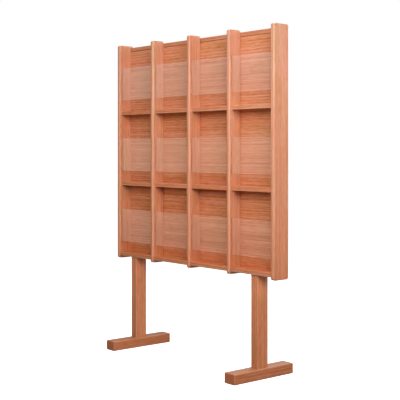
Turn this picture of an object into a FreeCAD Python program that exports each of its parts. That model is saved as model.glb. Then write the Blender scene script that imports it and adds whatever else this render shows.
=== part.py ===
import FreeCAD, Part
import Sketcher
import math
import os

# Periodical display rack: four columns by three rows of magazine pockets in
# solid board, clear windows let into stopped grooves, two posts and two feet.
# Frame: +X to the right of a person facing the rack, +Y towards the back,
# +Z up.  Origin on the floor, at the middle of the footprint.

V = FreeCAD.Vector
doc = FreeCAD.newDocument("PeriodicalRack")

# ---------------------------------------------------------------- dimensions
DIMS = [
    ("board_thick", 19.05, "thickness of sides and dividers"),
    ("shelf_thick", 16.5, "thickness of the shelves"),
    ("panel_thick", 12.7, "thickness of the back panel and the top rail"),
    ("column_pitch", 241.3, "centre to centre of neighbouring upright boards"),
    ("side_depth", 72.3, "front to back of the two outer side boards"),
    ("pocket_depth", 55.7, "front edge of an upright board to the back panel face"),
    ("rack_front", 33.7, "front edges of the uprights, ahead of the post centre line"),
    ("board_height", 931.6, "height of the sides and dividers"),
    ("board_bottom", 376.4, "height of their lower ends above the floor"),
    ("corner_round", 8.0, "radius of the free corners of the uprights"),
    ("rear_round", 7.0, "radius of the dividers' rear corners, at the panel"),
    ("edge_round", 2.3, "eased edges of the uprights"),
    ("shelf_rise", 10.7, "underside of the bottom shelf above the lower board ends"),
    ("row_pitch", 307.45, "shelf to shelf"),
    ("shelf_recess", 10.5, "upper and lower shelf front, behind the uprights"),
    ("bottom_recess", 1.2, "bottom shelf front, behind the uprights"),
    ("shelf_round", 1.6, "eased front edges of the shelves"),
    ("dado_depth", 6.35, "housings for shelf ends, and the rabbets for the back"),
    ("dado_slack", 0.15, "shelf end short of the bottom of its housing"),
    ("rail_high", 19.05, "height of the solid top rail"),
    ("rail_drop", 7.7, "top of the rail below the upright tops"),
    ("rail_round", 1.5, "eased top edges of the rail"),
    ("rail_bevel", 0.8, "bevel along the rail's lower rear edge and the panel's upper front edge"),
    ("shadow_high", 3.0, "shadow gap in front, between the rail and the panel"),
    ("shadow_deep", 2.8, "shadow gap in front, between the rail and the panel"),
    ("tongue_thick", 4.0, "tongue on top of the back panel"),
    ("tongue_high", 6.0, "tongue on top of the back panel"),
    ("groove_slack", 0.2, "play of the tongue in the rail's groove"),
    ("window_high", 140.0, "height of each clear window"),
    ("window_thick", 3.0, "thickness of each clear window"),
    ("window_gap", 47.95, "shelf top to the lower edge of its window"),
    ("window_recess", 6.0, "front of the groove behind the upright fronts"),
    ("slot_wide", 3.4, "width of the window grooves"),
    ("slot_deep", 3.2, "depth of the window grooves"),
    ("slot_slack", 0.3, "window end short of the bottom of its groove"),
    ("window_bevel", 0.3, "polished edge of the windows"),
    ("post_apart", 758.4, "centre to centre of the posts"),
    ("post_wide", 34.6, "post, left to right"),
    ("post_deep", 53.4, "post, front to back"),
    ("post_round", 1.3, "eased long edges of the posts"),
    ("foot_wide", 56.3, "foot, left to right"),
    ("foot_long", 302.2, "foot, front to back"),
    ("foot_high", 39.9, "foot, without its glides"),
    ("foot_round", 4.5, "eased edges of the feet, all round"),
    ("glide_proud", 1.2, "lift of the feet on their glides"),
    ("glide_dia", 22.0, "nylon glide"),
    ("glide_inset", 28.0, "glide centre from the foot's end"),
    ("glide_nail_dia", 3.0, "nail of a glide"),
    ("glide_nail_long", 12.0, "nail of a glide"),
    ("screw_dia", 4.2, "back panel screws"),
    ("screw_head", 8.2, "back panel screws"),
    ("screw_long", 35.0, "back panel screws, with the head"),
    ("screw_hole", 4.3, "clearance and pilot holes"),
    ("screw_sink", 8.9, "countersink at the surface"),
    ("lag_dia", 5.0, "screws down into the posts"),
    ("lag_head", 9.6, "screws down into the posts"),
    ("lag_long", 64.0, "screws down into the posts"),
    ("lag_hole", 5.1, "holes of the screws down into the posts"),
    ("lag_sink", 10.6, "countersink at the surface"),
    ("lag_first", 19.0, "first post screw behind the upright fronts"),
    ("lag_second", 41.0, "second post screw behind the upright fronts"),
    ("bolt_dia", 8.0, "bolt up through each foot"),
    ("bolt_long", 44.0, "bolt shank under its head"),
    ("bolt_head_dia", 15.0, "bolt head"),
    ("bolt_head_high", 5.0, "bolt head"),
    ("bolt_hole", 8.6, "bolt hole in the foot"),
    ("bore_dia", 23.0, "counterbore under the foot"),
    ("bore_deep", 12.0, "counterbore under the foot"),
    ("washer_dia", 21.0, "washer under the bolt head"),
    ("washer_thick", 1.6, "washer under the bolt head"),
    ("insert_dia", 12.0, "threaded insert in the post's lower end"),
    ("insert_long", 22.0, "threaded insert in the post's lower end"),
    ("insert_bore", 8.1, "threaded insert, inside"),
    ("insert_hole_deep", 30.0, "hole in the post for the insert and the bolt's end"),
    ("dowel_dia", 8.0, "dowels between foot and post"),
    ("dowel_long", 38.0, "dowels between foot and post"),
    ("dowel_hole", 8.15, "dowel holes"),
    ("dowel_hole_deep", 19.5, "dowel holes, in each piece"),
    ("dowel_offset", 18.0, "dowel from the post's centre, front and back"),
]
sheet = doc.addObject("Spreadsheet::Sheet", "Dims")
D = {}
for row, (alias, value, note) in enumerate(DIMS, start=1):
    sheet.set("A%d" % row, note)
    sheet.set("B%d" % row, str(value))
    sheet.setAlias("B%d" % row, alias)
    D[alias] = value
doc.recompute()


def q(text):
    """Expression text with every alias written as a cell of the sheet."""
    out, word = "", ""
    for ch in text + " ":
        if ch.isalpha() or ch == "_":
            word += ch
        else:
            out += ("Dims." + word if word in D else word) + ch
            word = ""
    return out.strip()


def val(text):
    """The present value of such an expression, to lay out new geometry."""
    out, word = "", ""
    for ch in text + " ":
        if ch.isalpha() or ch == "_":
            word += ch
        else:
            out += (repr(float(D[word])) if word in D else word) + ch
            word = ""
    total, sign = 0.0, 1.0
    # sums of products and quotients are enough for a layout value
    terms, current = [], ""
    for ch in out.replace(" ", ""):
        if ch in "+-" and current and current[-1] not in "*/e":
            terms.append(current)
            current = ch
        else:
            current += ch
    terms.append(current)
    for term in terms:
        sign = -1.0 if term.startswith("-") else 1.0
        term = term.lstrip("+-")
        number, op, product = "", "*", 1.0
        for ch in term + "*":
            if ch in "*/":
                product = product * float(number) if op == "*" else product / float(number)
                number, op = "", ch
            else:
                number += ch
        total += sign * product
    return total


# ------------------------------------------------------------------- helpers
def new_body(label, at=("0", "0", "0")):
    body = doc.addObject("PartDesign::Body", label.title().replace("_", ""))
    body.Label = label
    for axis, text in zip("xyz", at):
        body.setExpression("Placement.Base." + axis, q(text))
    return body


def origin_plane(body, role):
    for item in body.Origin.OriginFeatures:
        if item.Role == role:
            return item
    raise RuntimeError("no " + role)


def new_sketch(body, name, role, offset=None):
    sk = body.newObject("Sketcher::SketchObject", name)
    sk.AttachmentSupport = [(origin_plane(body, role), "")]
    sk.MapMode = "FlatFace"
    if offset is not None:
        sk.setExpression("AttachmentOffset.Base.z", q(offset))
    return sk


def pin(sk, geo, point, x, y):
    """Tie a point to the sketch origin by two distances, or to an axis where 0."""
    if x == "0":
        sk.addConstraint(Sketcher.Constraint("PointOnObject", geo, point, -2))
    else:
        c = sk.addConstraint(Sketcher.Constraint("DistanceX", -1, 1, geo, point, val(x)))
        sk.setExpression("Constraints[%d]" % c, q(x))
    if y == "0":
        sk.addConstraint(Sketcher.Constraint("PointOnObject", geo, point, -1))
    else:
        c = sk.addConstraint(Sketcher.Constraint("DistanceY", -1, 1, geo, point, val(y)))
        sk.setExpression("Constraints[%d]" % c, q(y))


def rect(sk, x, y, w, h):
    """Rectangle with its lower left corner at x, y."""
    x0, y0 = val(x), val(y)
    x1, y1 = x0 + val(w), y0 + val(h)
    i = sk.GeometryCount
    p = [V(x0, y0, 0), V(x1, y0, 0), V(x1, y1, 0), V(x0, y1, 0)]
    for a in range(4):
        sk.addGeometry(Part.LineSegment(p[a], p[(a + 1) % 4]), False)
    for a in range(4):
        sk.addConstraint(Sketcher.Constraint("Coincident", i + a, 2, i + (a + 1) % 4, 1))
    sk.addConstraint(Sketcher.Constraint("Horizontal", i))
    sk.addConstraint(Sketcher.Constraint("Horizontal", i + 2))
    sk.addConstraint(Sketcher.Constraint("Vertical", i + 1))
    sk.addConstraint(Sketcher.Constraint("Vertical", i + 3))
    pin(sk, i, 1, x, y)
    c = sk.addConstraint(Sketcher.Constraint("DistanceX", i, 1, i, 2, x1 - x0))
    sk.setExpression("Constraints[%d]" % c, q(w))
    c = sk.addConstraint(Sketcher.Constraint("DistanceY", i + 1, 1, i + 1, 2, y1 - y0))
    sk.setExpression("Constraints[%d]" % c, q(h))


def circle(sk, x, y, dia):
    i = sk.GeometryCount
    sk.addGeometry(Part.Circle(V(val(x), val(y), 0), V(0, 0, 1), val(dia) / 2), False)
    pin(sk, i, 3, x, y)
    c = sk.addConstraint(Sketcher.Constraint("Diameter", i, val(dia)))
    sk.setExpression("Constraints[%d]" % c, q(dia))


def polygon(sk, points):
    """Closed outline, each corner tied to the origin."""
    i = sk.GeometryCount
    n = len(points)
    p = [V(val(a), val(b), 0) for a, b in points]
    for a in range(n):
        sk.addGeometry(Part.LineSegment(p[a], p[(a + 1) % n]), False)
    for a in range(n):
        sk.addConstraint(Sketcher.Constraint("Coincident", i + a, 2, i + (a + 1) % n, 1))
    for a, (x, y) in enumerate(points):
        pin(sk, i + a, 1, x, y)


def pad(body, name, sk, length, reverse=False):
    feature = body.newObject("PartDesign::Pad", name)
    feature.Profile = sk
    feature.setExpression("Length", q(length))
    feature.Reversed = reverse
    body.Tip = feature
    return feature


def pocket(body, name, sk, depth, reverse=False):
    """Cut against the sketch normal, or along it; the volume must fall."""
    doc.recompute()
    before = body.Tip.Shape.Volume
    feature = body.newObject("PartDesign::Pocket", name)
    feature.Profile = sk
    feature.setExpression("Length", q(depth))
    feature.Reversed = reverse
    body.Tip = feature
    doc.recompute()
    if not feature.Shape.Volume < before - 1e-3:
        raise RuntimeError("%s/%s cuts nothing" % (body.Label, name))
    return feature


def pattern(body, name, source, axis, length, count):
    feature = body.newObject("PartDesign::LinearPattern", name)
    feature.Originals = [source]
    feature.Direction = (origin_plane(body, axis), [""])
    feature.setExpression("Length", q(length))
    feature.Occurrences = count
    body.Tip = feature
    doc.recompute()
    return feature


def edges(feature, test):
    names = []
    for n, e in enumerate(feature.Shape.Edges, start=1):
        if test(e.BoundBox, e):
            names.append("Edge%d" % n)
    if not names:
        raise RuntimeError("no edges for " + feature.Name)
    return names


def fillet(body, name, test, radius, kind="PartDesign::Fillet", size="Radius"):
    doc.recompute()
    base = body.Tip
    names = edges(base, test)
    feature = body.newObject(kind, name)
    feature.Base = (base, names)
    feature.setExpression(size, q(radius))
    body.Tip = feature
    doc.recompute()
    return feature


def chamfer(body, name, test, size_text):
    return fillet(body, name, test, size_text, "PartDesign::Chamfer", "Size")


def near(a, b):
    return abs(a - b) < 1e-4


def along(axis):
    def test(box, edge):
        spans = {"x": box.XLength, "y": box.YLength, "z": box.ZLength}
        return all(spans[k] < 1e-4 for k in "xyz" if k != axis) and spans[axis] > 1e-3
    return test


# Heights of the shelves' undersides, from the lower board ends
SHELF_AT = {
    "bottom": "shelf_rise",
    "lower": "shelf_rise + row_pitch",
    "upper": "shelf_rise + row_pitch + row_pitch",
}
RECESS = {"bottom": "bottom_recess", "lower": "shelf_recess", "upper": "shelf_recess"}
ROWS = ["upper", "lower", "bottom"]
INNER = "column_pitch - board_thick"
PANEL_LONG = "4 * column_pitch - board_thick + 2 * dado_depth - 2 * dado_slack"


# ------------------------------------------------------------ upright boards
def housings(body, side, reverse, open_back):
    """Housings for three shelf ends and three stopped window grooves, cut into
    the face at x = side."""
    over = "2" if open_back else "0"
    for row in ROWS:
        sk = new_sketch(body, "HousingSketch" + row.title() + ("L" if reverse else "R"), "YZ_Plane", side)
        rect(sk, RECESS[row], SHELF_AT[row],
             "pocket_depth - %s + %s" % (RECESS[row], over), "shelf_thick")
        pocket(body, "Housing" + row.title() + ("L" if reverse else "R"), sk, "dado_depth", reverse)
    sk = new_sketch(body, "SlotSketch" + ("L" if reverse else "R"), "YZ_Plane", side)
    rect(sk, "window_recess", "shelf_rise + shelf_thick + window_gap - groove_slack",
         "slot_wide", "window_high + 2 * groove_slack")
    cut = pocket(body, "Slot" + ("L" if reverse else "R"), sk, "slot_deep", reverse)
    pattern(body, "Slots" + ("L" if reverse else "R"), cut, "Z_Axis", "2 * row_pitch", 3)


def side_board(label, x, inner_right):
    """Outer side: full depth, four rounded corners, eased all round, with a
    rabbet at the back of its inner face for the back panel and the top rail."""
    body = new_body(label, (x, "0 - rack_front", "board_bottom"))
    sk = new_sketch(body, "Outline", "YZ_Plane")
    rect(sk, "0", "0", "side_depth", "board_height")
    pad(body, "Board", sk, "board_thick")
    fillet(body, "Corners", along("x"), "corner_round")
    t = D["board_thick"]
    fillet(body, "Easing",
           lambda b, e: near(b.XLength, 0) and (near(b.XMin, 0) or near(b.XMin, t)), "edge_round")
    face = "board_thick" if inner_right else "0"
    rev = not inner_right
    housings(body, face, rev, True)
    sk = new_sketch(body, "RabbetSketch", "YZ_Plane", face)
    rect(sk, "pocket_depth", "shelf_rise", "side_depth - pocket_depth + 2",
         "board_height - shelf_rise - rail_drop")
    pocket(body, "Rabbet", sk, "dado_depth", rev)
    return body


def divider(label, x):
    """Inner upright: rounded corners at the front, smaller ones at the back,
    where it meets the panel, eased all round, with housings in both faces."""
    body = new_body(label, (x, "0 - rack_front", "board_bottom"))
    sk = new_sketch(body, "Outline", "YZ_Plane")
    rect(sk, "0", "0", "pocket_depth", "board_height")
    pad(body, "Board", sk, "board_thick")
    fillet(body, "Corners",
           lambda b, e: along("x")(b, e) and near(b.YMin, 0), "corner_round")
    t, deep = D["board_thick"], D["pocket_depth"]
    fillet(body, "RearCorners",
           lambda b, e: along("x")(b, e) and near(b.YMin, deep), "rear_round")
    fillet(body, "Easing",
           lambda b, e: near(b.XLength, 0) and (near(b.XMin, 0) or near(b.XMin, t)), "edge_round")
    housings(body, "board_thick", False, True)
    housings(body, "0", True, True)
    # pilot holes for the four screws that come through the back panel
    sk = new_sketch(body, "PilotSketch", "XZ_Plane", "0 - pocket_depth")
    for height in DIVIDER_SCREWS:
        circle(sk, "board_thick / 2", height, "screw_hole")
    pocket(body, "Pilots", sk, "screw_long - panel_thick + 1", True)
    return body


DIVIDER_SCREWS = [
    "shelf_rise + 60",
    "shelf_rise + row_pitch - 60",
    "shelf_rise + row_pitch + 160",
    "shelf_rise + 2 * row_pitch + 200",
]

side_board("side_board_left", "0 - 2 * column_pitch - board_thick / 2", True)
side_board("side_board_right", "2 * column_pitch - board_thick / 2", False)
for name, x in (("divider_left", "0 - column_pitch - board_thick / 2"),
                ("divider_middle", "0 - board_thick / 2"),
                ("divider_right", "column_pitch - board_thick / 2")):
    divider(name, x)


# --------------------------------------------------------------- back panel
body = new_body("back_panel", ("0 - (4 * column_pitch - board_thick + 2 * dado_depth - 2 * dado_slack) / 2",
                               "pocket_depth - rack_front", "board_bottom + shelf_rise"))
sk = new_sketch(body, "Outline", "XZ_Plane")
PANEL_HIGH = "board_height - shelf_rise - rail_drop - rail_high"
rect(sk, "0", "0", PANEL_LONG, PANEL_HIGH)
pad(body, "Panel", sk, "panel_thick", True)
high = D["board_height"] - D["shelf_rise"] - D["rail_drop"] - D["rail_high"]
chamfer(body, "UpperFrontEdge", lambda b, e: along("x")(b, e) and near(b.ZMin, high) and near(b.YMin, 0),
        "rail_bevel")
sk = new_sketch(body, "TongueSketch", "XZ_Plane", "tongue_thick / 2 - panel_thick / 2")
rect(sk, "0", PANEL_HIGH, PANEL_LONG, "tongue_high")
pad(body, "Tongue", sk, "tongue_thick", True)
doc.recompute()
# clearance holes: four screws into each divider, one into each shelf, each
# countersunk from the back
FIRST_DIVIDER = "column_pitch - board_thick / 2 + dado_depth - dado_slack"
sk = new_sketch(body, "DividerHoleSketch", "XZ_Plane")
for height in DIVIDER_SCREWS:
    circle(sk, FIRST_DIVIDER, height + " - shelf_rise", "screw_hole")
cut = pocket(body, "DividerHoles", sk, "panel_thick")
pattern(body, "DividerHoleRow", cut, "X_Axis", "2 * column_pitch", 3)
sk = new_sketch(body, "ShelfHoleSketch", "XZ_Plane")
for row in ROWS:
    circle(sk, FIRST_DIVIDER + " - column_pitch / 2",
           SHELF_AT[row] + " - shelf_rise + shelf_thick / 2", "screw_hole")
cut = pocket(body, "ShelfHoles", sk, "panel_thick")
pattern(body, "ShelfHoleRow", cut, "X_Axis", "3 * column_pitch", 4)
thick = D["panel_thick"]
chamfer(body, "Countersinks",
        lambda b, e: near(b.YMin, thick) and near(b.YLength, 0)
        and near(b.XLength, D["screw_hole"]) and near(b.ZLength, D["screw_hole"]),
        "(screw_sink - screw_hole) / 2")

# ----------------------------------------------------------------- top rail
body = new_body("top_rail", ("0 - (4 * column_pitch - board_thick + 2 * dado_depth - 2 * dado_slack) / 2",
                             "pocket_depth - rack_front",
                             "board_bottom + board_height - rail_drop - rail_high"))
sk = new_sketch(body, "Section", "YZ_Plane")
rect(sk, "0", "0", "panel_thick", "rail_high")
pad(body, "Rail", sk, PANEL_LONG)
fillet(body, "TopEdges", lambda b, e: along("x")(b, e) and near(b.ZMin, D["rail_high"]), "rail_round")
thick = D["panel_thick"]
chamfer(body, "LowerEdge", lambda b, e: along("x")(b, e) and near(b.ZMin, 0) and near(b.YMin, thick), "rail_bevel")
sk = new_sketch(body, "GrooveSketch", "YZ_Plane")
rect(sk, "panel_thick / 2 - tongue_thick / 2 - groove_slack", "0",
     "tongue_thick + 2 * groove_slack", "tongue_high + groove_slack")
pocket(body, "Groove", sk, PANEL_LONG, True)
sk = new_sketch(body, "ShadowSketch", "YZ_Plane")
rect(sk, "0", "0", "shadow_deep", "shadow_high")
pocket(body, "ShadowGap", sk, PANEL_LONG, True)

# ------------------------------------------------------------------ shelves
COLUMNS = ["a", "b", "c", "d"]


def column_x(number):
    """Left face of the opening of a column, counted 0 to 3 from the left."""
    return "%d * column_pitch - 2 * column_pitch + board_thick / 2" % number


for row in ROWS:
    for number, letter in enumerate(COLUMNS):
        label = "%s_shelf_%s" % (row, letter)
        recess = RECESS[row]
        body = new_body(label, (column_x(number) + " - dado_depth + dado_slack",
                                recess + " - rack_front", "board_bottom + " + SHELF_AT[row]))
        long_text = INNER + " + 2 * dado_depth - 2 * dado_slack"
        sk = new_sketch(body, "Outline", "XY_Plane")
        rect(sk, "0", "0", long_text, "pocket_depth - " + recess)
        pad(body, "Board", sk, "shelf_thick")
        fillet(body, "FrontEdges", lambda b, e: along("x")(b, e) and near(b.YMin, 0), "shelf_round")
        # pilot hole for the screw that comes through the back panel
        sk = new_sketch(body, "PilotSketch", "XZ_Plane", recess + " - pocket_depth")
        circle(sk, "column_pitch / 2 - board_thick / 2 + dado_depth - dado_slack",
               "shelf_thick / 2", "screw_hole")
        pocket(body, "Pilot", sk, "screw_long - panel_thick + 1", True)
        if row == "bottom" and number in (0, 3):
            # two countersunk holes over the post below
            place = ("%s post_apart / 2 - %d * column_pitch + 2 * column_pitch - board_thick / 2"
                     " + dado_depth - dado_slack" % ("0 -" if number == 0 else "0 +", number))
            sk = new_sketch(body, "PostHoleSketch", "XY_Plane", "shelf_thick")
            for deep in ("lag_first", "lag_second"):
                circle(sk, place, deep + " - " + recess, "lag_hole")
            pocket(body, "PostHoles", sk, "shelf_thick + 1", False)
            chamfer(body, "PostSinks",
                    lambda b, e: near(b.ZMin, D["shelf_thick"]) and near(b.ZLength, 0)
                    and near(b.XLength, D["lag_hole"]) and near(b.YLength, D["lag_hole"]),
                    "(lag_sink - lag_hole) / 2")

# ------------------------------------------------------------ clear windows
for row in ROWS:
    for number, letter in enumerate(COLUMNS):
        body = new_body("%s_window_%s" % (row, letter),
                        (column_x(number) + " - slot_deep + slot_slack",
                         "window_recess + (slot_wide - window_thick) / 2 - rack_front",
                         "board_bottom + %s + shelf_thick + window_gap" % SHELF_AT[row]))
        sk = new_sketch(body, "Outline", "XZ_Plane")
        rect(sk, "0", "0", INNER + " + 2 * slot_deep - 2 * slot_slack", "window_high")
        pad(body, "Sheet", sk, "window_thick", True)
        chamfer(body, "PolishedEdges", along("x"), "window_bevel")

# -------------------------------------------------------------------- posts
POST_TOP = "board_bottom + shelf_rise"
FOOT_TOP = "glide_proud + foot_high"
for label, sign in (("post_left", "0 - post_apart / 2"), ("post_right", "post_apart / 2")):
    body = new_body(label, (sign + " - post_wide / 2", "0 - post_deep / 2", FOOT_TOP))
    length = POST_TOP + " - glide_proud - foot_high"
    sk = new_sketch(body, "Section", "XY_Plane")
    rect(sk, "0", "0", "post_wide", "post_deep")
    pad(body, "Post", sk, length)
    fillet(body, "LongEdges", along("z"), "post_round")
    # pilots for the two screws from the bottom shelf
    sk = new_sketch(body, "TopPilotSketch", "XY_Plane", length)
    for deep in ("lag_first", "lag_second"):
        circle(sk, "post_wide / 2", deep + " - rack_front + post_deep / 2", "lag_hole")
    pocket(body, "TopPilots", sk, "lag_long - shelf_thick + 1", False)
    # lower end: insert, and a dowel in front and behind
    sk = new_sketch(body, "InsertSketch", "XY_Plane")
    circle(sk, "post_wide / 2", "post_deep / 2", "insert_dia + 0.1")
    pocket(body, "InsertHole", sk, "insert_hole_deep", True)
    sk = new_sketch(body, "DowelSketch", "XY_Plane")
    circle(sk, "post_wide / 2", "post_deep / 2 - dowel_offset", "dowel_hole")
    circle(sk, "post_wide / 2", "post_deep / 2 + dowel_offset", "dowel_hole")
    pocket(body, "DowelHoles", sk, "dowel_hole_deep", True)

# --------------------------------------------------------------------- feet
for label, sign in (("foot_left", "0 - post_apart / 2"), ("foot_right", "post_apart / 2")):
    body = new_body(label, (sign + " - foot_wide / 2", "0 - foot_long / 2", "glide_proud"))
    sk = new_sketch(body, "Outline", "XY_Plane")
    rect(sk, "0", "0", "foot_wide", "foot_long")
    pad(body, "Foot", sk, "foot_high")
    fillet(body, "Easing", lambda b, e: True, "foot_round")
    sk = new_sketch(body, "BoreSketch", "XY_Plane")
    circle(sk, "foot_wide / 2", "foot_long / 2", "bore_dia")
    pocket(body, "Counterbore", sk, "bore_deep", True)
    sk = new_sketch(body, "BoltSketch", "XY_Plane")
    circle(sk, "foot_wide / 2", "foot_long / 2", "bolt_hole")
    pocket(body, "BoltHole", sk, "foot_high + 1", True)
    sk = new_sketch(body, "DowelSketch", "XY_Plane", "foot_high")
    circle(sk, "foot_wide / 2", "foot_long / 2 - dowel_offset", "dowel_hole")
    circle(sk, "foot_wide / 2", "foot_long / 2 + dowel_offset", "dowel_hole")
    pocket(body, "DowelHoles", sk, "dowel_hole_deep", False)
    sk = new_sketch(body, "NailSketch", "XY_Plane")
    circle(sk, "foot_wide / 2", "glide_inset", "glide_nail_dia + 0.1")
    circle(sk, "foot_wide / 2", "foot_long - glide_inset", "glide_nail_dia + 0.1")
    pocket(body, "NailHoles", sk, "glide_nail_long + 0.5", True)

# ------------------------------------------------------------------- glides
for label, x, y in (("glide_front_left", "0 - post_apart / 2", "glide_inset - foot_long / 2"),
                    ("glide_back_left", "0 - post_apart / 2", "foot_long / 2 - glide_inset"),
                    ("glide_front_right", "post_apart / 2", "glide_inset - foot_long / 2"),
                    ("glide_back_right", "post_apart / 2", "foot_long / 2 - glide_inset")):
    body = new_body(label, (x, y, "0"))
    sk = new_sketch(body, "Disc", "XY_Plane")
    circle(sk, "0", "0", "glide_dia")
    pad(body, "Pad", sk, "glide_proud")
    chamfer(body, "Rim", lambda b, e: near(b.ZMin, 0) and near(b.ZLength, 0), "0.6")
    sk = new_sketch(body, "NailSketch", "XY_Plane", "glide_proud")
    circle(sk, "0", "0", "glide_nail_dia")
    pad(body, "Nail", sk, "glide_nail_long")


# ---------------------------------------------------------------- fasteners
def turned(label, outline, spots, turn, recess=None):
    """A node of identical turned pieces: one outline (radius, height) revolved
    about its own +Z, with a driver recess cut into it, then set at each spot
    and turned as given."""
    p = [V(r, 0, z) for r, z in outline]
    wire = Part.makePolygon(p + [p[0]])
    one = Part.Face(wire).revolve(V(0, 0, 0), V(0, 0, 1), 360)
    if recess is not None:
        one = one.cut(recess).Solids[0]
    solids = []
    for x, y, z in spots:
        piece = one.copy()
        piece.Placement = FreeCAD.Placement(V(x, y, z), turn)
        solids.append(piece)
    feature = doc.addObject("Part::Feature", label.title().replace("_", ""))
    feature.Shape = Part.makeCompound(solids)
    feature.Label = label
    feature.Placement = FreeCAD.Placement()
    return feature


def cross_recess(radius, deep, blade, face):
    """Cross recess of a countersunk screw: two wedge blades that narrow to a
    point below the face at height face."""
    blades = []
    for angle in (0, 90):
        profile = Part.makePolygon([V(-radius, 0, face - 1), V(radius, 0, face - 1), V(radius, 0, face),
                                    V(radius * 0.35, 0, face + deep), V(-radius * 0.35, 0, face + deep),
                                    V(-radius, 0, face), V(-radius, 0, face - 1)])
        blade_solid = Part.Face(profile).extrude(V(0, blade, 0))
        blade_solid.translate(V(0, -blade / 2, 0))
        blade_solid.rotate(V(0, 0, 0), V(0, 0, 1), angle)
        blades.append(blade_solid)
    return blades[0].fuse(blades[1])


UP = FreeCAD.Rotation()
FORWARD = FreeCAD.Rotation(V(1, 0, 0), 90)       # local +Z to -Y
DOWN = FreeCAD.Rotation(V(1, 0, 0), 180)

# countersunk screws through the back panel, heads flush with its back
face_y = D["pocket_depth"] + D["panel_thick"] - D["rack_front"]
spots = []
for k in (-1, 0, 1):
    for height in DIVIDER_SCREWS:
        spots.append((k * D["column_pitch"], face_y, D["board_bottom"] + val(height)))
for number in range(4):
    for row in ROWS:
        spots.append(((number - 1.5) * D["column_pitch"], face_y,
                      D["board_bottom"] + val(SHELF_AT[row]) + D["shelf_thick"] / 2))
hr, sr, ln = D["screw_head"] / 2, D["screw_dia"] / 2, D["screw_long"]
SCREW = [(0, 0.25), (hr, 0.25), (sr, 0.25 + hr - sr), (sr, ln - 5), (0.35, ln), (0, ln)]
turned("back_panel_screws", SCREW, spots, FORWARD, cross_recess(2.3, 2.2, 0.85, 0.25))

# screws down through the bottom shelf into the posts
top_z = D["board_bottom"] + D["shelf_rise"] + D["shelf_thick"]
spots = []
for side in (-1, 1):
    for deep in ("lag_first", "lag_second"):
        spots.append((side * D["post_apart"] / 2, D[deep] - D["rack_front"], top_z))
hr, sr, ln = D["lag_head"] / 2, D["lag_dia"] / 2, D["lag_long"]
LAG = [(0, 0.3), (hr, 0.3), (sr, 0.3 + hr - sr), (sr, ln - 6), (0.4, ln), (0, ln)]
turned("post_screws", LAG, spots, DOWN, cross_recess(2.7, 2.6, 1.0, 0.3))

# bolt, washer and insert on each post's centre line, and the dowels
sides = (-D["post_apart"] / 2, D["post_apart"] / 2)
seat = D["glide_proud"] + D["bore_deep"]
wt = D["washer_thick"]
head = seat - wt - D["bolt_head_high"]
br, bh = D["bolt_dia"] / 2, D["bolt_head_dia"] / 2
BOLT = [(0, 0), (bh - 0.8, 0), (bh, 0.8), (bh, D["bolt_head_high"]),
        (br, D["bolt_head_high"]), (br, D["bolt_head_high"] + D["bolt_long"] - 1),
        (br - 1, D["bolt_head_high"] + D["bolt_long"]), (0, D["bolt_head_high"] + D["bolt_long"])]
hexagon = Part.makePolygon([V(2.9 * math.cos(math.radians(60 * k)), 2.9 * math.sin(math.radians(60 * k)), -1)
                            for k in range(7)])
socket = Part.Face(hexagon).extrude(V(0, 0, 3.8))
turned("foot_bolts", BOLT, [(x, 0, head) for x in sides], UP, socket)
turned("foot_washers", [(br + 0.2, 0), (D["washer_dia"] / 2, 0), (D["washer_dia"] / 2, wt), (br + 0.2, wt)],
       [(x, 0, seat - wt) for x in sides], UP)
low = D["glide_proud"] + D["foot_high"]
turned("threaded_inserts", [(D["insert_bore"] / 2, 0.5), (D["insert_dia"] / 2, 0.5),
                            (D["insert_dia"] / 2, D["insert_long"]), (D["insert_bore"] / 2, D["insert_long"])],
       [(x, 0, low) for x in sides], UP)
dr, dl = D["dowel_dia"] / 2, D["dowel_long"]
turned("foot_dowels", [(0, 0), (dr - 1, 0), (dr, 1), (dr, dl - 1), (dr - 1, dl), (0, dl)],
       [(x, s * D["dowel_offset"], low - dl / 2) for x in sides for s in (-1, 1)], UP)

# ------------------------------------------------------------ check and write
doc.recompute()
bad = [o.Name for o in doc.Objects if "Invalid" in o.State or "Error" in o.State]
if bad:
    raise RuntimeError("failed objects: " + ", ".join(bad))
nodes = [o for o in doc.Objects if o.TypeId == "PartDesign::Body" or
         (o.TypeId == "Part::Feature")]
for o in nodes:
    if o.Shape.isNull() or not o.Shape.isValid():
        raise RuntimeError("bad shape: " + o.Label)
    if o.Shape.Volume <= 0 or not o.Shape.Solids:
        raise RuntimeError("no solid: " + o.Label)
    if o.TypeId == "PartDesign::Body" and len(o.Shape.Solids) != 1:
        raise RuntimeError("more than one solid: " + o.Label)
labels = [o.Label for o in nodes]
if len(set(labels)) != len(labels) or len(labels) > 60:
    raise RuntimeError("labels")
os.makedirs("parts", exist_ok=True)
for o in nodes:
    o.Shape.exportStep("parts/%s.step" % o.Label)
box = nodes[0].Shape.BoundBox
for o in nodes:
    box.add(o.Shape.BoundBox)
print("nodes", len(nodes))
print("bounds", [round(v, 2) for v in (box.XMin, box.XMax, box.YMin, box.YMax, box.ZMin, box.ZMax)])
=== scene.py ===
import math
import random

import bpy
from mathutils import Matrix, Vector


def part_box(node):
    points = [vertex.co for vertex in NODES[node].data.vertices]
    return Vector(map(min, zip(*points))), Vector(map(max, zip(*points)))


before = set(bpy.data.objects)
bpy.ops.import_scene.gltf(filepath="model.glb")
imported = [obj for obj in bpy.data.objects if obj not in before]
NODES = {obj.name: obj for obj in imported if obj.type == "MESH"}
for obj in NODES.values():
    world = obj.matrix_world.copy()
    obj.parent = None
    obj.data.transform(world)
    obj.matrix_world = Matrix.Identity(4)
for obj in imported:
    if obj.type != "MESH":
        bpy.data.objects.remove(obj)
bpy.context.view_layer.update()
scene = bpy.context.scene

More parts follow.
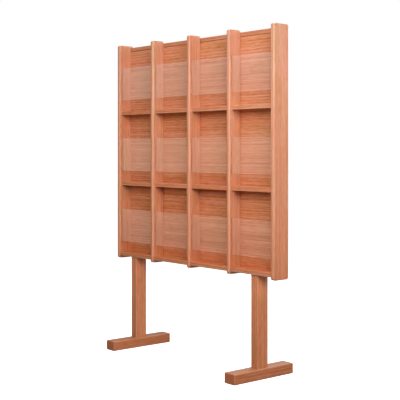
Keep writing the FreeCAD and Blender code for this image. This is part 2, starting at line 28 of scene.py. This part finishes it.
# ------------------------------------------------------------------- camera
# Level camera at eye height above a chair, to the right of the rack, with a
# little vertical shift so that the uprights stay parallel.
cam_data = bpy.data.cameras.new("camera")
cam_data.sensor_width = 36.0
cam_data.lens = 84.6586
cam_data.shift_x = 0.0
cam_data.shift_y = -0.12349
cam_data.clip_start = 0.05
cam_data.clip_end = 100.0
camera = bpy.data.objects.new("camera", cam_data)
camera.location = (2.922322, -2.410046, 0.846616)
camera.rotation_euler = (math.pi / 2, 0.0, math.radians(50.156))
scene.collection.objects.link(camera)
scene.camera = camera

scene.view_settings.view_transform = "Standard"
scene.view_settings.look = "None"
scene.view_settings.exposure = 0.0
scene.view_settings.gamma = 1.0


# ------------------------------------------------------------- node helpers
class Tree:
    """Short names for the shader nodes used below."""

    def __init__(self, nodes_owner):
        self.t = nodes_owner.node_tree
        self.t.nodes.clear()

    def new(self, kind, **props):
        n = self.t.nodes.new(kind)
        for key, value in props.items():
            setattr(n, key, value)
        return n

    def put(self, socket, value):
        if isinstance(value, bpy.types.NodeSocket):
            self.t.links.new(value, socket)
        elif value is not None:
            socket.default_value = value

    def math(self, op, a, b=None, c=None, clamp=False):
        n = self.new("ShaderNodeMath", operation=op, use_clamp=clamp)
        self.put(n.inputs[0], a)
        self.put(n.inputs[1], b)
        self.put(n.inputs[2], c)
        return n.outputs[0]

    def vec(self, op, a, b=None):
        n = self.new("ShaderNodeVectorMath", operation=op)
        self.put(n.inputs[0], a)
        self.put(n.inputs[1], b)
        return n.outputs["Value" if op in ("LENGTH", "DOT_PRODUCT") else "Vector"]

    def scaled(self, a, k):
        return self.vec("MULTIPLY", a, k)

    def split(self, v):
        n = self.new("ShaderNodeSeparateXYZ")
        self.put(n.inputs[0], v)
        return n.outputs[0], n.outputs[1], n.outputs[2]

    def join(self, x, y, z):
        n = self.new("ShaderNodeCombineXYZ")
        for socket, value in zip(n.inputs, (x, y, z)):
            self.put(socket, value)
        return n.outputs[0]

    def noise(self, v, detail=2.0, rough=0.5, colour=False):
        n = self.new("ShaderNodeTexNoise", noise_dimensions="3D")
        self.put(n.inputs["Vector"], v)
        n.inputs["Scale"].default_value = 1.0
        n.inputs["Detail"].default_value = detail
        n.inputs["Roughness"].default_value = rough
        return n.outputs["Color" if colour else "Fac"]

    def span(self, x, lo, hi, to_lo=0.0, to_hi=1.0, smooth=True):
        n = self.new("ShaderNodeMapRange", interpolation_type="SMOOTHSTEP" if smooth else "LINEAR")
        n.clamp = True
        for socket, value in zip(n.inputs, (x, lo, hi, to_lo, to_hi)):
            self.put(socket, value)
        return n.outputs[0]

    def ramp(self, x, stops, kind="LINEAR"):
        n = self.new("ShaderNodeValToRGB")
        n.color_ramp.interpolation = kind
        while len(n.color_ramp.elements) > 1:
            n.color_ramp.elements.remove(n.color_ramp.elements[0])
        n.color_ramp.elements[0].position = stops[0][0]
        n.color_ramp.elements[0].color = (*stops[0][1], 1.0)
        for place, colour in stops[1:]:
            n.color_ramp.elements.new(place).color = (*colour, 1.0)
        self.put(n.inputs[0], x)
        return n.outputs["Color"]

    def mix(self, fac, a, b, blend="MIX"):
        n = self.new("ShaderNodeMix", data_type="RGBA", blend_type=blend)
        n.clamp_factor = True
        self.put(n.inputs["Factor"], fac)
        for socket, value in zip((n.inputs[6], n.inputs[7]), (a, b)):
            self.put(socket, (*value, 1.0) if isinstance(value, tuple) and len(value) == 3 else value)
        return n.outputs[2]


def srgb(r, g, b):
    """Colour from 0-255 screen values to linear light."""
    return tuple(c / 255 / 12.92 if c <= 10 else ((c / 255 + 0.055) / 1.055) ** 2.4 for c in (r, g, b))


# --------------------------------------------------------------------- wood
# Honey-toned hardwood under a satin lacquer.  The figure is a solid texture
# along each board: growth rings about a pith outside the board, broad and fine
# streaks along the grain, vessel lines, darker end grain, and pale edges, partly
# rubbed and partly a painted highlight; trims of tone also paint light and shade.
DARK, MID, LIGHT = (0.438, 0.126, 0.0325), (0.574, 0.228, 0.1105), (0.683, 0.342, 0.2255)
ORDER = {"x": (0, 2, 1), "xf": (0, 1, 2), "y": (1, 0, 2), "z": (2, 1, 0)}


def wood(node, grain, seed, free, rings=(0.0042, 0.30), broad=0.46, fine=0.72, flecks=0.60, tone=0.0,
         stretch=1.0, pith=None, end_dark=0.42, gloss=0.44, tint=(1.0, 1.0, 1.0), blush=0.5, wander=0.022, bands=38.0,
         painted_highlight_and_shade=0.0, sheen=0.25, painted_light_gradient=1.0, gap_shade=None, painted_light_right=(1.00, 1.04, 1.09), painted_low_shade=0.0, top_less_red=0.0, pocket_light=None,
         lower_edge_highlight=None, shaded=None, front_band_darker=0.0):
    """Material of one board.  grain: the axis it runs along, and with "xf" the
    wide face is level.  free: sides whose edges are exposed, such as "-y +z".
    worn: how strong a painted highlight is on the front beside its right arris; any amount also turns on painted shade
    along its left arris, darker ends, and painted light under the upper shelf.
    bleach: how far painted light makes it paler towards the top and the right, and painted shade makes it deeper and
    warmer low down.
    scuffed: how far painted shade darkens its front towards the floor.
    trodden: how far its top is less red and a little darker.
    dust: height and depth of the shadow gap along its lower front edge, darkened inside by painted shade.
    pockets: left end, pitch, bottom and rise of the bays it lines; in each bay painted light and shade make it paler
    to the left and darker to the right, lighter and warmer under the shelf above, and deeper orange just under that
    shelf.
    lip: height of the band along its lower front edge, and the colour of the painted highlight on it.
    shaded: tone of the right face close under the rack, which offsets part of the
    lamps' shadow there.
    gripped: how far its right face is darker along the front.
    The causes that these names suggest are guesses: the amounts are trims of tone
    tuned to the reference picture, tied to places on the object."""
    rng = random.Random(seed)
    m = bpy.data.materials.new("wood_" + node)
    m.use_nodes = True
    t = Tree(m)
    place = t.new("ShaderNodeTexCoord").outputs["Object"]
    xyz = t.split(place)
    u, v, w = (xyz[i] for i in ORDER[grain])
    lo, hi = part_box(node)
    centre = (lo + hi) / 2
    cu, cv, cw = (centre[i] for i in ORDER[grain])
    at = t.join(t.math("ADD", u, -cu + 3.0 + 7.31 * (seed % 97)), t.math("SUBTRACT", v, cv), t.math("SUBTRACT", w, cw))

    # slow wander of the grain
    drift = t.vec("SUBTRACT", t.noise(t.scaled(at, (0.9 / stretch, 6.0, 6.0)), 2.0, 0.5, True), (0.5, 0.5, 0.5))
    bent = t.vec("ADD", at, t.scaled(drift, (0.0, wander, wander)))

    # growth rings
    if pith is None:
        pith = (rng.choice((-1, 1)) * rng.uniform(0.07, 0.13), rng.choice((-1, 1)) * rng.uniform(0.05, 0.10))
    spoke = t.scaled(t.vec("SUBTRACT", bent, (0.0, pith[0], pith[1])), (0.0, 1.0, 1.0))
    radius = t.vec("LENGTH", spoke)
    uneven = t.noise(t.join(t.math("MULTIPLY", radius, 60.0), 0.37 * seed, 0.0), 2.0, 0.6)
    phase = t.math("FRACT", t.math("ADD", t.math("DIVIDE", radius, rings[0]), t.math("MULTIPLY", uneven, 3.2)))
    ring = t.math("MULTIPLY", t.span(phase, 0.25, 0.82), t.span(phase, 0.88, 1.0, 1.0, 0.0))

    # streaks, mottle, vessels
    wide = t.noise(t.scaled(bent, (0.55 / stretch, bands, bands)), 3.0, 0.58)
    thin = t.noise(t.scaled(bent, (3.4 / stretch, 190.0, 190.0)), 3.0, 0.62)
    mottle = t.noise(t.scaled(at, (7.0, 24.0, 24.0)), 2.0, 0.5)
    fleck = t.noise(t.scaled(bent, (30.0 / stretch, 170.0, 170.0)), 2.0, 0.55)
    cells = t.noise(t.scaled(bent, (16.0, 950.0, 950.0)), 1.0, 0.5)
    vessel = t.span(cells, 0.60, 0.74)

    level = t.math("MULTIPLY_ADD", ring, -rings[1], 0.56 + tone)
    level = t.math("ADD", level, t.math("MULTIPLY", t.math("SUBTRACT", wide, 0.5), broad))
    level = t.math("ADD", level, t.math("MULTIPLY", t.math("SUBTRACT", thin, 0.5), fine))
    level = t.math("ADD", level, t.math("MULTIPLY", t.math("SUBTRACT", fleck, 0.5), flecks))
    level = t.math("ADD", level, t.math("MULTIPLY", t.math("SUBTRACT", mottle, 0.5), 0.30))
    shades = [tuple(c * k for c, k in zip(shade, tint)) for shade in (DARK, MID, LIGHT)]
    colour = t.ramp(level, list(zip((0.0, 0.5, 1.0), shades)))

    # stripes that lean to ochre or to pink
    lean = t.noise(t.scaled(bent, (2.6 / stretch, 17.0, 17.0)), 4.0, 0.68)
    colour = t.mix(t.span(lean, 0.48, 0.72, 0.0, blush), colour, (0.90, 1.14, 0.92), "MULTIPLY")
    colour = t.mix(t.span(lean, 0.52, 0.28, 0.0, blush), colour, (1.06, 0.92, 1.06), "MULTIPLY")
    colour = t.mix(t.math("MULTIPLY", vessel, 0.42), colour, (0.66, 0.44, 0.30), "MULTIPLY")

    # a trim of tone that paints light and shade: paler towards the top and the
    # right, deeper and warmer low down
    colour = t.mix(t.math("MULTIPLY", t.span(xyz[2], 0.80, 0.36), painted_light_gradient), colour, (1.00, 0.90, 0.78), "MULTIPLY")
    colour = t.mix(t.math("MULTIPLY", t.span(xyz[2], 0.78, 1.22), painted_light_gradient), colour, (0.98, 1.05, 1.16), "MULTIPLY")
    colour = t.mix(t.math("MULTIPLY", t.span(xyz[0], -0.10, 0.55), painted_light_gradient), colour, painted_light_right, "MULTIPLY")

    # end grain drinks more finish
    facing = t.split(t.new("ShaderNodeNewGeometry").outputs["Normal"])
    normal = facing[ORDER[grain][0]]
    end = t.span(t.math("ABSOLUTE", normal), 0.35, 0.90)
    speck = t.noise(t.scaled(at, (40.0, 900.0, 900.0)), 2.0, 0.6)
    soaked = t.mix(t.span(speck, 0.35, 0.70), (0.50, 0.42, 0.38), (0.86, 0.82, 0.78))
    colour = t.mix(t.math("MULTIPLY", end, end_dark * 1.6, clamp=True), colour, t.mix(1.0, colour, soaked, "MULTIPLY"))

    # rubbed edges, pale partly by wear and partly as a painted highlight: distance to the nearest exposed edge of the
    # board
    gaps = []
    for axis, name in enumerate("xyz"):
        a = lo[axis] if "-" + name in free else lo[axis] - 1.0
        b = hi[axis] if "+" + name in free else hi[axis] + 1.0
        gaps.append(t.math("SUBTRACT", (b - a) / 2, t.math("ABSOLUTE", t.math("SUBTRACT", xyz[axis], (a + b) / 2))))
    near_two = t.math("MAXIMUM", t.math("MINIMUM", gaps[0], gaps[1]),
                      t.math("MINIMUM", t.math("MAXIMUM", gaps[0], gaps[1]), gaps[2]))
    wear_and_highlight_patches = t.noise(t.scaled(place, (26.0, 26.0, 26.0)), 3.0, 0.6)
    edge = t.math("MULTIPLY", t.span(near_two, 0.0, 0.0034, 1.0, 0.0), t.span(wear_and_highlight_patches, 0.30, 0.62, 0.35, 1.0))
    if painted_highlight_and_shade > 0.0:
        # shaping the painted highlight: the pale edge is weakened at the left and right corners of the front
        edge = t.math("MULTIPLY", edge, t.span(xyz[0], lo[0] + 0.001, lo[0] + 0.006, 0.15, 1.0))
        edge = t.math("MULTIPLY", edge, t.span(xyz[0], hi[0] - 0.0004, hi[0] - 0.0018, 0.15, 1.0))
    colour = t.mix(t.math("MULTIPLY", edge, 0.30), colour, (0.80, 0.430, 0.275))
    nick = t.math("MULTIPLY", t.span(near_two, 0.0, 0.0022, 1.0, 0.0),
                  t.span(t.noise(t.scaled(place, (75.0, 75.0, 75.0)), 1.0, 0.5), 0.70, 0.78))
    colour = t.mix(t.math("MULTIPLY", nick, 0.55), colour, (0.34, 0.12, 0.05))
    if painted_highlight_and_shade > 0.0:
        # painted highlight on the front, just left of its right arris
        ahead_of = t.span(xyz[1], lo[1] + 0.0040, lo[1] + 0.0015)
        front_highlight = t.math("MULTIPLY", ahead_of, t.span(wear_and_highlight_patches, 0.25, 0.60, 0.7, 1.0))
        across = t.math("MULTIPLY", t.span(xyz[0], hi[0] - 0.0085, hi[0] - 0.0050), t.span(xyz[0], hi[0] - 0.0006, hi[0] - 0.0020))
        colour = t.mix(t.math("MULTIPLY", t.math("MULTIPLY", front_highlight, across), painted_highlight_and_shade), colour, (0.90, 0.560, 0.400))
        # painted shade along the left arris of the front
        left_arris_shade = t.math("MULTIPLY", ahead_of, t.span(xyz[0], lo[0] + 0.0065, lo[0] + 0.0025))
        colour = t.mix(t.math("MULTIPLY", left_arris_shade, 0.8), colour, (0.74, 0.66, 0.62), "MULTIPLY")
        # trims of tone: both ends a little darker; painted light lifts the shadow in
        # the inner corner under the upper shelf, lighter and redder there
        colour = t.mix(t.span(xyz[2], 1.12, 1.26), colour, (0.94, 0.93, 0.93), "MULTIPLY")
        colour = t.mix(t.span(xyz[2], 0.52, 0.40), colour, (0.96, 0.96, 0.96), "MULTIPLY")
        corner = t.math("MULTIPLY", t.span(xyz[2], 0.915, 0.95), t.span(xyz[2], 1.012, 1.000))
        corner = t.math("MULTIPLY", corner, t.math("MULTIPLY", t.span(xyz[1], -0.014, 0.006), t.span(facing[0], 0.4, 0.8)))
        has_pocket = 0.0 if node == "side_board_right" else 1.0
        colour = t.mix(t.math("MULTIPLY", corner, has_pocket), colour, (1.19, 1.09, 1.04), "MULTIPLY")
    if front_band_darker > 0.0:
        # its right face darker along the front
        band = t.math("MULTIPLY", t.span(facing[0], 0.4, 0.8), t.span(xyz[1], lo[1] + 0.019, lo[1] + 0.011))
        colour = t.mix(t.math("MULTIPLY", band, front_band_darker), colour, (0.90, 0.89, 0.87), "MULTIPLY")
    # painted shade inside the shadow gap along the lower front edge
    if gap_shade is not None:
        line = t.math("MULTIPLY", t.span(xyz[2], lo[2] + gap_shade[0] + 0.0002, lo[2] + gap_shade[0] - 0.0002),
                      t.span(xyz[1], lo[1] + 0.0002, lo[1] + 0.0008))
        line = t.math("MULTIPLY", line, t.span(xyz[1], lo[1] + gap_shade[1] + 0.0004, lo[1] + gap_shade[1]))
        colour = t.mix(t.math("MULTIPLY", line, 0.8), colour, (0.95, 0.42, 0.10), "MULTIPLY")
    if pocket_light is not None:
        left, pitch, bottom, rise = pocket_light
        # painted light and shade in each bay: paler to the left, darker to the right beside the next upright
        inside = t.span(facing[1], -0.30, -0.75)
        along = t.math("FRACT", t.math("DIVIDE", t.math("SUBTRACT", xyz[0], left), pitch))
        side = t.ramp(along, [(0.30, (1.055, 1.030, 1.050)), (0.78, (0.945, 0.910, 0.870))])
        colour = t.mix(inside, colour, side, "MULTIPLY")
        # painted light under the shelf above, lighter and warmer, and painted shade just under it, deeper orange
        above = t.math("FRACT", t.math("DIVIDE", t.math("SUBTRACT", xyz[2], bottom), rise))
        roofed = t.math("MULTIPLY", inside, t.span(xyz[2], bottom + 2.02 * rise, bottom + 1.98 * rise))
        colour = t.mix(t.math("MULTIPLY", t.span(above, 0.74, 0.86), roofed), colour, (1.13, 1.07, 1.00), "MULTIPLY")
        colour = t.mix(t.math("MULTIPLY", t.span(above, 0.885, 0.925), roofed), colour, (1.00, 0.85, 0.62), "MULTIPLY")
    if lower_edge_highlight is not None:
        # painted highlight along the lower part of the front, greyer on the bottom shelves
        low = t.math("MULTIPLY", t.span(facing[1], -0.30, -0.75), t.span(xyz[2], lo[2] + lower_edge_highlight[0], lo[2] + 0.5 * lower_edge_highlight[0]))
        colour = t.mix(low, colour, lower_edge_highlight[1], "MULTIPLY")
    if shaded is not None:
        high = t.math("MULTIPLY", t.span(facing[0], 0.4, 0.8), t.span(xyz[2], 0.275, 0.345))
        colour = t.mix(high, colour, shaded, "MULTIPLY")
        rear = t.math("MULTIPLY", t.span(facing[0], 0.4, 0.8), t.span(xyz[1], 0.007, 0.016))
        colour = t.mix(rear, colour, (1.00, 1.07, 1.18), "MULTIPLY")
    if painted_low_shade > 0.0:
        # painted shade: its front darker towards the floor
        low = t.math("MULTIPLY", t.span(facing[1], -0.4, -0.8), t.span(xyz[2], 0.34, 0.12))
        colour = t.mix(t.math("MULTIPLY", low, painted_low_shade), colour, (0.80, 0.82, 0.80), "MULTIPLY")
    if top_less_red > 0.0:
        # its top less red and a little darker
        colour = t.mix(t.math("MULTIPLY", t.span(facing[2], 0.4, 0.85), top_less_red), colour, (0.80, 0.93, 0.92), "MULTIPLY")

    rough = t.math("MULTIPLY_ADD", t.math("SUBTRACT", thin, 0.5), 0.22, gloss)
    rough = t.math("MULTIPLY_ADD", vessel, 0.10, rough)
    rough = t.math("MULTIPLY_ADD", end, 0.12, rough)
    rough = t.math("MULTIPLY_ADD", edge, -0.05, rough)
    height = t.math("MULTIPLY_ADD", thin, 0.5, t.math("MULTIPLY", vessel, -0.8))
    height = t.math("MULTIPLY_ADD", ring, 0.25, height)
    bump = t.new("ShaderNodeBump")
    bump.inputs["Strength"].default_value = 0.30
    bump.inputs["Distance"].default_value = 0.0003
    t.put(bump.inputs["Height"], height)

    p = t.new("ShaderNodeBsdfPrincipled")
    t.put(p.inputs["Base Color"], colour)
    t.put(p.inputs["Roughness"], rough)
    t.put(p.inputs["Normal"], bump.outputs["Normal"])
    p.inputs["IOR"].default_value = 1.48
    p.inputs["Specular IOR Level"].default_value = sheen
    out = t.new("ShaderNodeOutputMaterial")
    t.put(out.inputs["Surface"], p.outputs["BSDF"])
    return m


def dress(node, material):
    o = NODES[node]
    o.data.materials.clear()
    o.data.materials.append(material)


UPRIGHT, SHELF, PANEL = (0.99, 1.0, 1.06), (0.90, 0.79, 0.735), (0.926, 0.840, 0.774)
POST, FOOT = (0.96, 0.845, 0.80), (0.795, 0.685, 0.59)
seed = 11
for name, pith, painted_highlight_and_shade in (("side_board_left", (0.11, 0.05), 0.35), ("side_board_right", (-0.12, 0.06), 0.22)):
    dress(name, wood(name, "z", seed, "-x +x -y +y -z +z", pith=pith, tint=UPRIGHT, painted_highlight_and_shade=painted_highlight_and_shade, end_dark=0.55,
                     front_band_darker=0.8 if name == "side_board_right" else 0.0))
    seed += 5
for name, painted_highlight_and_shade in (("divider_left", 0.50), ("divider_middle", 0.36), ("divider_right", 0.36)):
    dress(name, wood(name, "z", seed, "-x +x -y -z +z", tint=UPRIGHT, painted_highlight_and_shade=painted_highlight_and_shade, end_dark=0.55))
    seed += 7
dress("top_rail", wood("top_rail", "x", seed, "-y +y +z", tint=(0.83, 0.77, 0.72), gap_shade=(0.0030, 0.0028)))
seed += 3
for row in ("upper", "lower", "bottom"):
    for letter in "abcd":
        name = "%s_shelf_%s" % (row, letter)
        tone = {"a": -0.02, "b": 0.02, "c": -0.01, "d": 0.03}[letter]
        if name in ("upper_shelf_c", "upper_shelf_d", "lower_shelf_a"):
            tone += 0.09
        # painted highlight along the lower front edge of each shelf
        lower_edge_highlight = (0.013, (0.93, 1.18, 1.50)) if row == "bottom" else (0.008, (1.13, 1.17, 1.21))
        dress(name, wood(name, "xf", seed, "-y -z +z", tone=tone, tint=SHELF, sheen=0.12, gloss=0.52, lower_edge_highlight=lower_edge_highlight))
        seed += 9
# sliced veneer: streaks run across the whole panel
dress("back_panel", wood("back_panel", "x", seed, "-z +y", rings=(0.0100, 0.26), broad=0.68, fine=0.90,
                         flecks=0.85, stretch=1.15, pith=(0.62, 0.16), tint=PANEL, blush=0.50, wander=0.006,
                         bands=62.0, painted_light_right=(1.01, 1.075, 1.17), sheen=0.05,
                         pocket_light=(-0.4826, 0.2413, 0.4036, 0.30745)))
seed += 4
for name, shaded in (("post_left", (1.14, 1.15, 1.12)), ("post_right", (1.33, 1.42, 1.55))):
    dress(name, wood(name, "z", seed, "-x +x -y +y", tint=POST, painted_light_gradient=0.0, painted_low_shade=0.75, shaded=shaded))
    seed += 6
for name in ("foot_left", "foot_right"):
    dress(name, wood(name, "y", seed, "-x +x -y +y -z +z", end_dark=0.36, tint=FOOT, painted_light_gradient=0.0, top_less_red=0.9))
    seed += 8


# ------------------------------------------------------------- clear windows
def clear_sheet():
    """3 mm acrylic: mirrors a little on both faces, passes the rest straight
    on, with faint wiping marks and pale sawn edges."""
    m = bpy.data.materials.new("clear_acrylic")
    m.use_nodes = True
    t = Tree(m)
    place = t.new("ShaderNodeTexCoord").outputs["Object"]
    geo = t.new("ShaderNodeNewGeometry")
    ior = t.math("MULTIPLY_ADD", geo.outputs["Backfacing"], 1 / 1.49 - 1.49, 1.49)
    fresnel = t.new("ShaderNodeFresnel")
    t.put(fresnel.inputs["IOR"], ior)
    wiped = t.noise(t.scaled(place, (9.0, 9.0, 30.0)), 3.0, 0.6)
    hair = t.noise(t.scaled(place, (60.0, 60.0, 900.0)), 1.0, 0.5)
    marks = t.math("ADD", t.span(wiped, 0.45, 0.75, 0.0, 0.006), t.span(hair, 0.62, 0.80, 0.0, 0.006))
    through = t.new("ShaderNodeBsdfTransparent")
    through.inputs["Color"].default_value = (0.995, 0.998, 0.994, 1.0)
    milk = t.new("ShaderNodeBsdfDiffuse")
    milk.inputs["Color"].default_value = (0.90, 0.92, 0.92, 1.0)
    mirror = t.new("ShaderNodeBsdfAnisotropic")
    mirror.inputs["Color"].default_value = (1.0, 1.0, 1.0, 1.0)
    t.put(mirror.inputs["Roughness"], t.span(wiped, 0.3, 0.7, 0.05, 0.12))
    body = t.new("ShaderNodeMixShader")
    t.put(body.inputs[0], t.math("ADD", marks, 0.001))
    t.put(body.inputs[1], through.outputs[0])
    t.put(body.inputs[2], milk.outputs[0])
    # sawn and polished rims scatter light
    nx, ny, nz = t.split(geo.outputs["Normal"])
    rim = t.span(t.math("ABSOLUTE", ny), 0.75, 0.5)
    pale = t.new("ShaderNodeBsdfDiffuse")
    pale.inputs["Color"].default_value = (0.88, 0.90, 0.89, 1.0)
    body2 = t.new("ShaderNodeMixShader")
    t.put(body2.inputs[0], t.math("MULTIPLY", rim, 0.40))
    t.put(body2.inputs[1], body.outputs[0])
    t.put(body2.inputs[2], pale.outputs[0])
    whole = t.new("ShaderNodeMixShader")
    t.put(whole.inputs[0], fresnel.outputs[0])
    t.put(whole.inputs[1], body2.outputs[0])
    t.put(whole.inputs[2], mirror.outputs[0])
    out = t.new("ShaderNodeOutputMaterial")
    t.put(out.inputs["Surface"], whole.outputs[0])
    return m


acrylic = clear_sheet()
for row in ("upper", "lower", "bottom"):
    for letter in "abcd":
        dress("%s_window_%s" % (row, letter), acrylic)


# ------------------------------------------------------- small hidden pieces
def plain(name, dark, light, rough, metal=0.0, scale=180.0, bump_mm=0.05):
    m = bpy.data.materials.new(name)
    m.use_nodes = True
    t = Tree(m)
    place = t.new("ShaderNodeTexCoord").outputs["Object"]
    blot = t.noise(t.scaled(place, (scale,) * 3), 4.0, 0.6)
    grit = t.noise(t.scaled(place, (scale * 9,) * 3), 2.0, 0.6)
    p = t.new("ShaderNodeBsdfPrincipled")
    t.put(p.inputs["Base Color"], t.ramp(t.math("MULTIPLY_ADD", grit, 0.3, t.math("MULTIPLY", blot, 0.7)),
                                         [(0.3, dark), (0.7, light)]))
    t.put(p.inputs["Roughness"], t.span(blot, 0.25, 0.75, rough - 0.08, rough + 0.10))
    p.inputs["Metallic"].default_value = metal
    bump = t.new("ShaderNodeBump")
    bump.inputs["Strength"].default_value = 0.3
    bump.inputs["Distance"].default_value = bump_mm / 1000
    t.put(bump.inputs["Height"], grit)
    t.put(p.inputs["Normal"], bump.outputs["Normal"])
    out = t.new("ShaderNodeOutputMaterial")
    t.put(out.inputs["Surface"], p.outputs["BSDF"])
    return m


zinc = plain("zinc_plate", (0.46, 0.46, 0.45), (0.68, 0.68, 0.66), 0.36, 1.0)
for name in ("back_panel_screws", "post_screws", "foot_bolts", "foot_washers", "threaded_inserts"):
    dress(name, zinc)
nylon = plain("nylon", (0.66, 0.64, 0.57), (0.80, 0.78, 0.71), 0.5, 0.0, 90.0, 0.08)
for name in ("glide_front_left", "glide_back_left", "glide_front_right", "glide_back_right"):
    dress(name, nylon)
dress("foot_dowels", plain("beech_dowel", (0.50, 0.33, 0.17), (0.66, 0.47, 0.27), 0.6, 0.0, 300.0))

# -------------------------------------------------------------------- stage
floor_mesh = bpy.data.meshes.new("floor")
R = 30.0
ring_pts = [(R * math.cos(a * math.pi / 24), R * math.sin(a * math.pi / 24), 0.0) for a in range(48)]
floor_mesh.from_pydata(ring_pts, [], [list(range(48))])
floor = bpy.data.objects.new("floor", floor_mesh)
floor_mat = bpy.data.materials.new("floor_white")
floor_mat.use_nodes = True
ft = Tree(floor_mat)
fp = ft.new("ShaderNodeBsdfDiffuse")
fp.inputs["Color"].default_value = (0.90, 0.90, 0.90, 1.0)
# painted light: the floor glows, dimmer near the rack so that the lamps' contact shadow shows, and full white further
# off
fg = ft.new("ShaderNodeEmission")
away = ft.vec("LENGTH", ft.new("ShaderNodeTexCoord").outputs["Object"])
ft.put(fg.inputs["Strength"], ft.span(away, 0.5, 2.4, 0.86, 1.02))
fa = ft.new("ShaderNodeAddShader")
ft.put(fa.inputs[0], fp.outputs[0])
ft.put(fa.inputs[1], fg.outputs[0])
fo = ft.new("ShaderNodeOutputMaterial")
ft.put(fo.inputs["Surface"], fa.outputs[0])
floor_mesh.materials.append(floor_mat)
scene.collection.objects.link(floor)
floor.visible_diffuse = False
floor.visible_glossy = False
floor.visible_shadow = False

# -------------------------------------------------------------------- light
# A white studio: bounce from the floor, pale surroundings that the lacquer and
# the clear sheets mirror, and soft panels from the right, the front and above.
world = bpy.data.worlds.new("studio")
world.use_nodes = True
wt = Tree(world)
aside, ahead, way = wt.split(wt.new("ShaderNodeTexCoord").outputs["Generated"])


def layers(down, level, up):
    """Colour by height: below, at and above the horizon."""
    lower = wt.mix(wt.span(way, -0.30, 0.0), down, level)
    return wt.mix(wt.span(way, 0.0, 0.20), lower, up)


BLACK = (0.0, 0.0, 0.0)
bounce = wt.new("ShaderNodeBackground")
wt.put(bounce.inputs["Color"], layers((0.367,) * 3, BLACK, BLACK))
front = layers((0.05,) * 3, (1.30, 1.0, 0.80), (0.45, 0.75, 0.85))
behind = wt.mix(wt.span(aside, -0.25, 0.25), layers((0.05,) * 3, (0.60,) * 3, (0.60,) * 3),
                layers((0.05,) * 3, (1.0,) * 3, (0.25,) * 3))
mirrored = wt.new("ShaderNodeBackground")
wt.put(mirrored.inputs["Color"], wt.mix(wt.span(ahead, 0.15, -0.15), behind, front))
white = wt.new("ShaderNodeBackground")
path = wt.new("ShaderNodeLightPath")
pick = wt.new("ShaderNodeMixShader")
wt.put(pick.inputs[0], path.outputs["Is Glossy Ray"])
wt.put(pick.inputs[1], bounce.outputs[0])
wt.put(pick.inputs[2], mirrored.outputs[0])
seen = wt.new("ShaderNodeMixShader")
wt.put(seen.inputs[0], path.outputs["Is Camera Ray"])
wt.put(seen.inputs[1], pick.outputs[0])
wt.put(seen.inputs[2], white.outputs[0])
white.inputs["Color"].default_value = (1.0, 1.0, 1.0, 1.0)
wo = wt.new("ShaderNodeOutputWorld")
wt.put(wo.inputs["Surface"], seen.outputs[0])
scene.world = world

# azimuth from the front towards the right side, elevation, distance, size, power
PANELS = [
    ("key", 50, 25, 2.6, 1.5, 45.8),
    ("wide", 70, 20, 5.0, 3.0, 74.3),
    ("high", 60, 65, 2.6, 1.5, 27.5),
    ("front", 0, 20, 2.6, 1.5, 10.9),
    ("front_high", 0, 45, 2.6, 1.5, 8.6),
    ("left", -30, 30, 2.6, 1.5, 3.8),
    ("near", 55, 20, 1.6, 0.85, 4.6),
    ("right_low", 120, 5, 2.6, 1.5, 1.8),
    ("right_back", 150, 25, 2.6, 1.5, 24.1),
    ("back", 205, 25, 2.6, 1.5, 26.0),
]
TARGET = Vector((0.0, 0.0, 0.85))
for name, az, el, far, size, power in PANELS:
    a, e = math.radians(az), math.radians(el)
    data = bpy.data.lights.new(name, "AREA")
    data.shape = "SQUARE"
    data.size = size
    data.energy = power
    lamp = bpy.data.objects.new(name, data)
    out_way = Vector((math.sin(a) * math.cos(e), -math.cos(a) * math.cos(e), math.sin(e)))
    lamp.location = TARGET + out_way * far
    lamp.rotation_mode = "QUATERNION"
    lamp.rotation_quaternion = out_way.to_track_quat("Z", "Y")
    lamp.visible_camera = False
    scene.collection.objects.link(lamp)
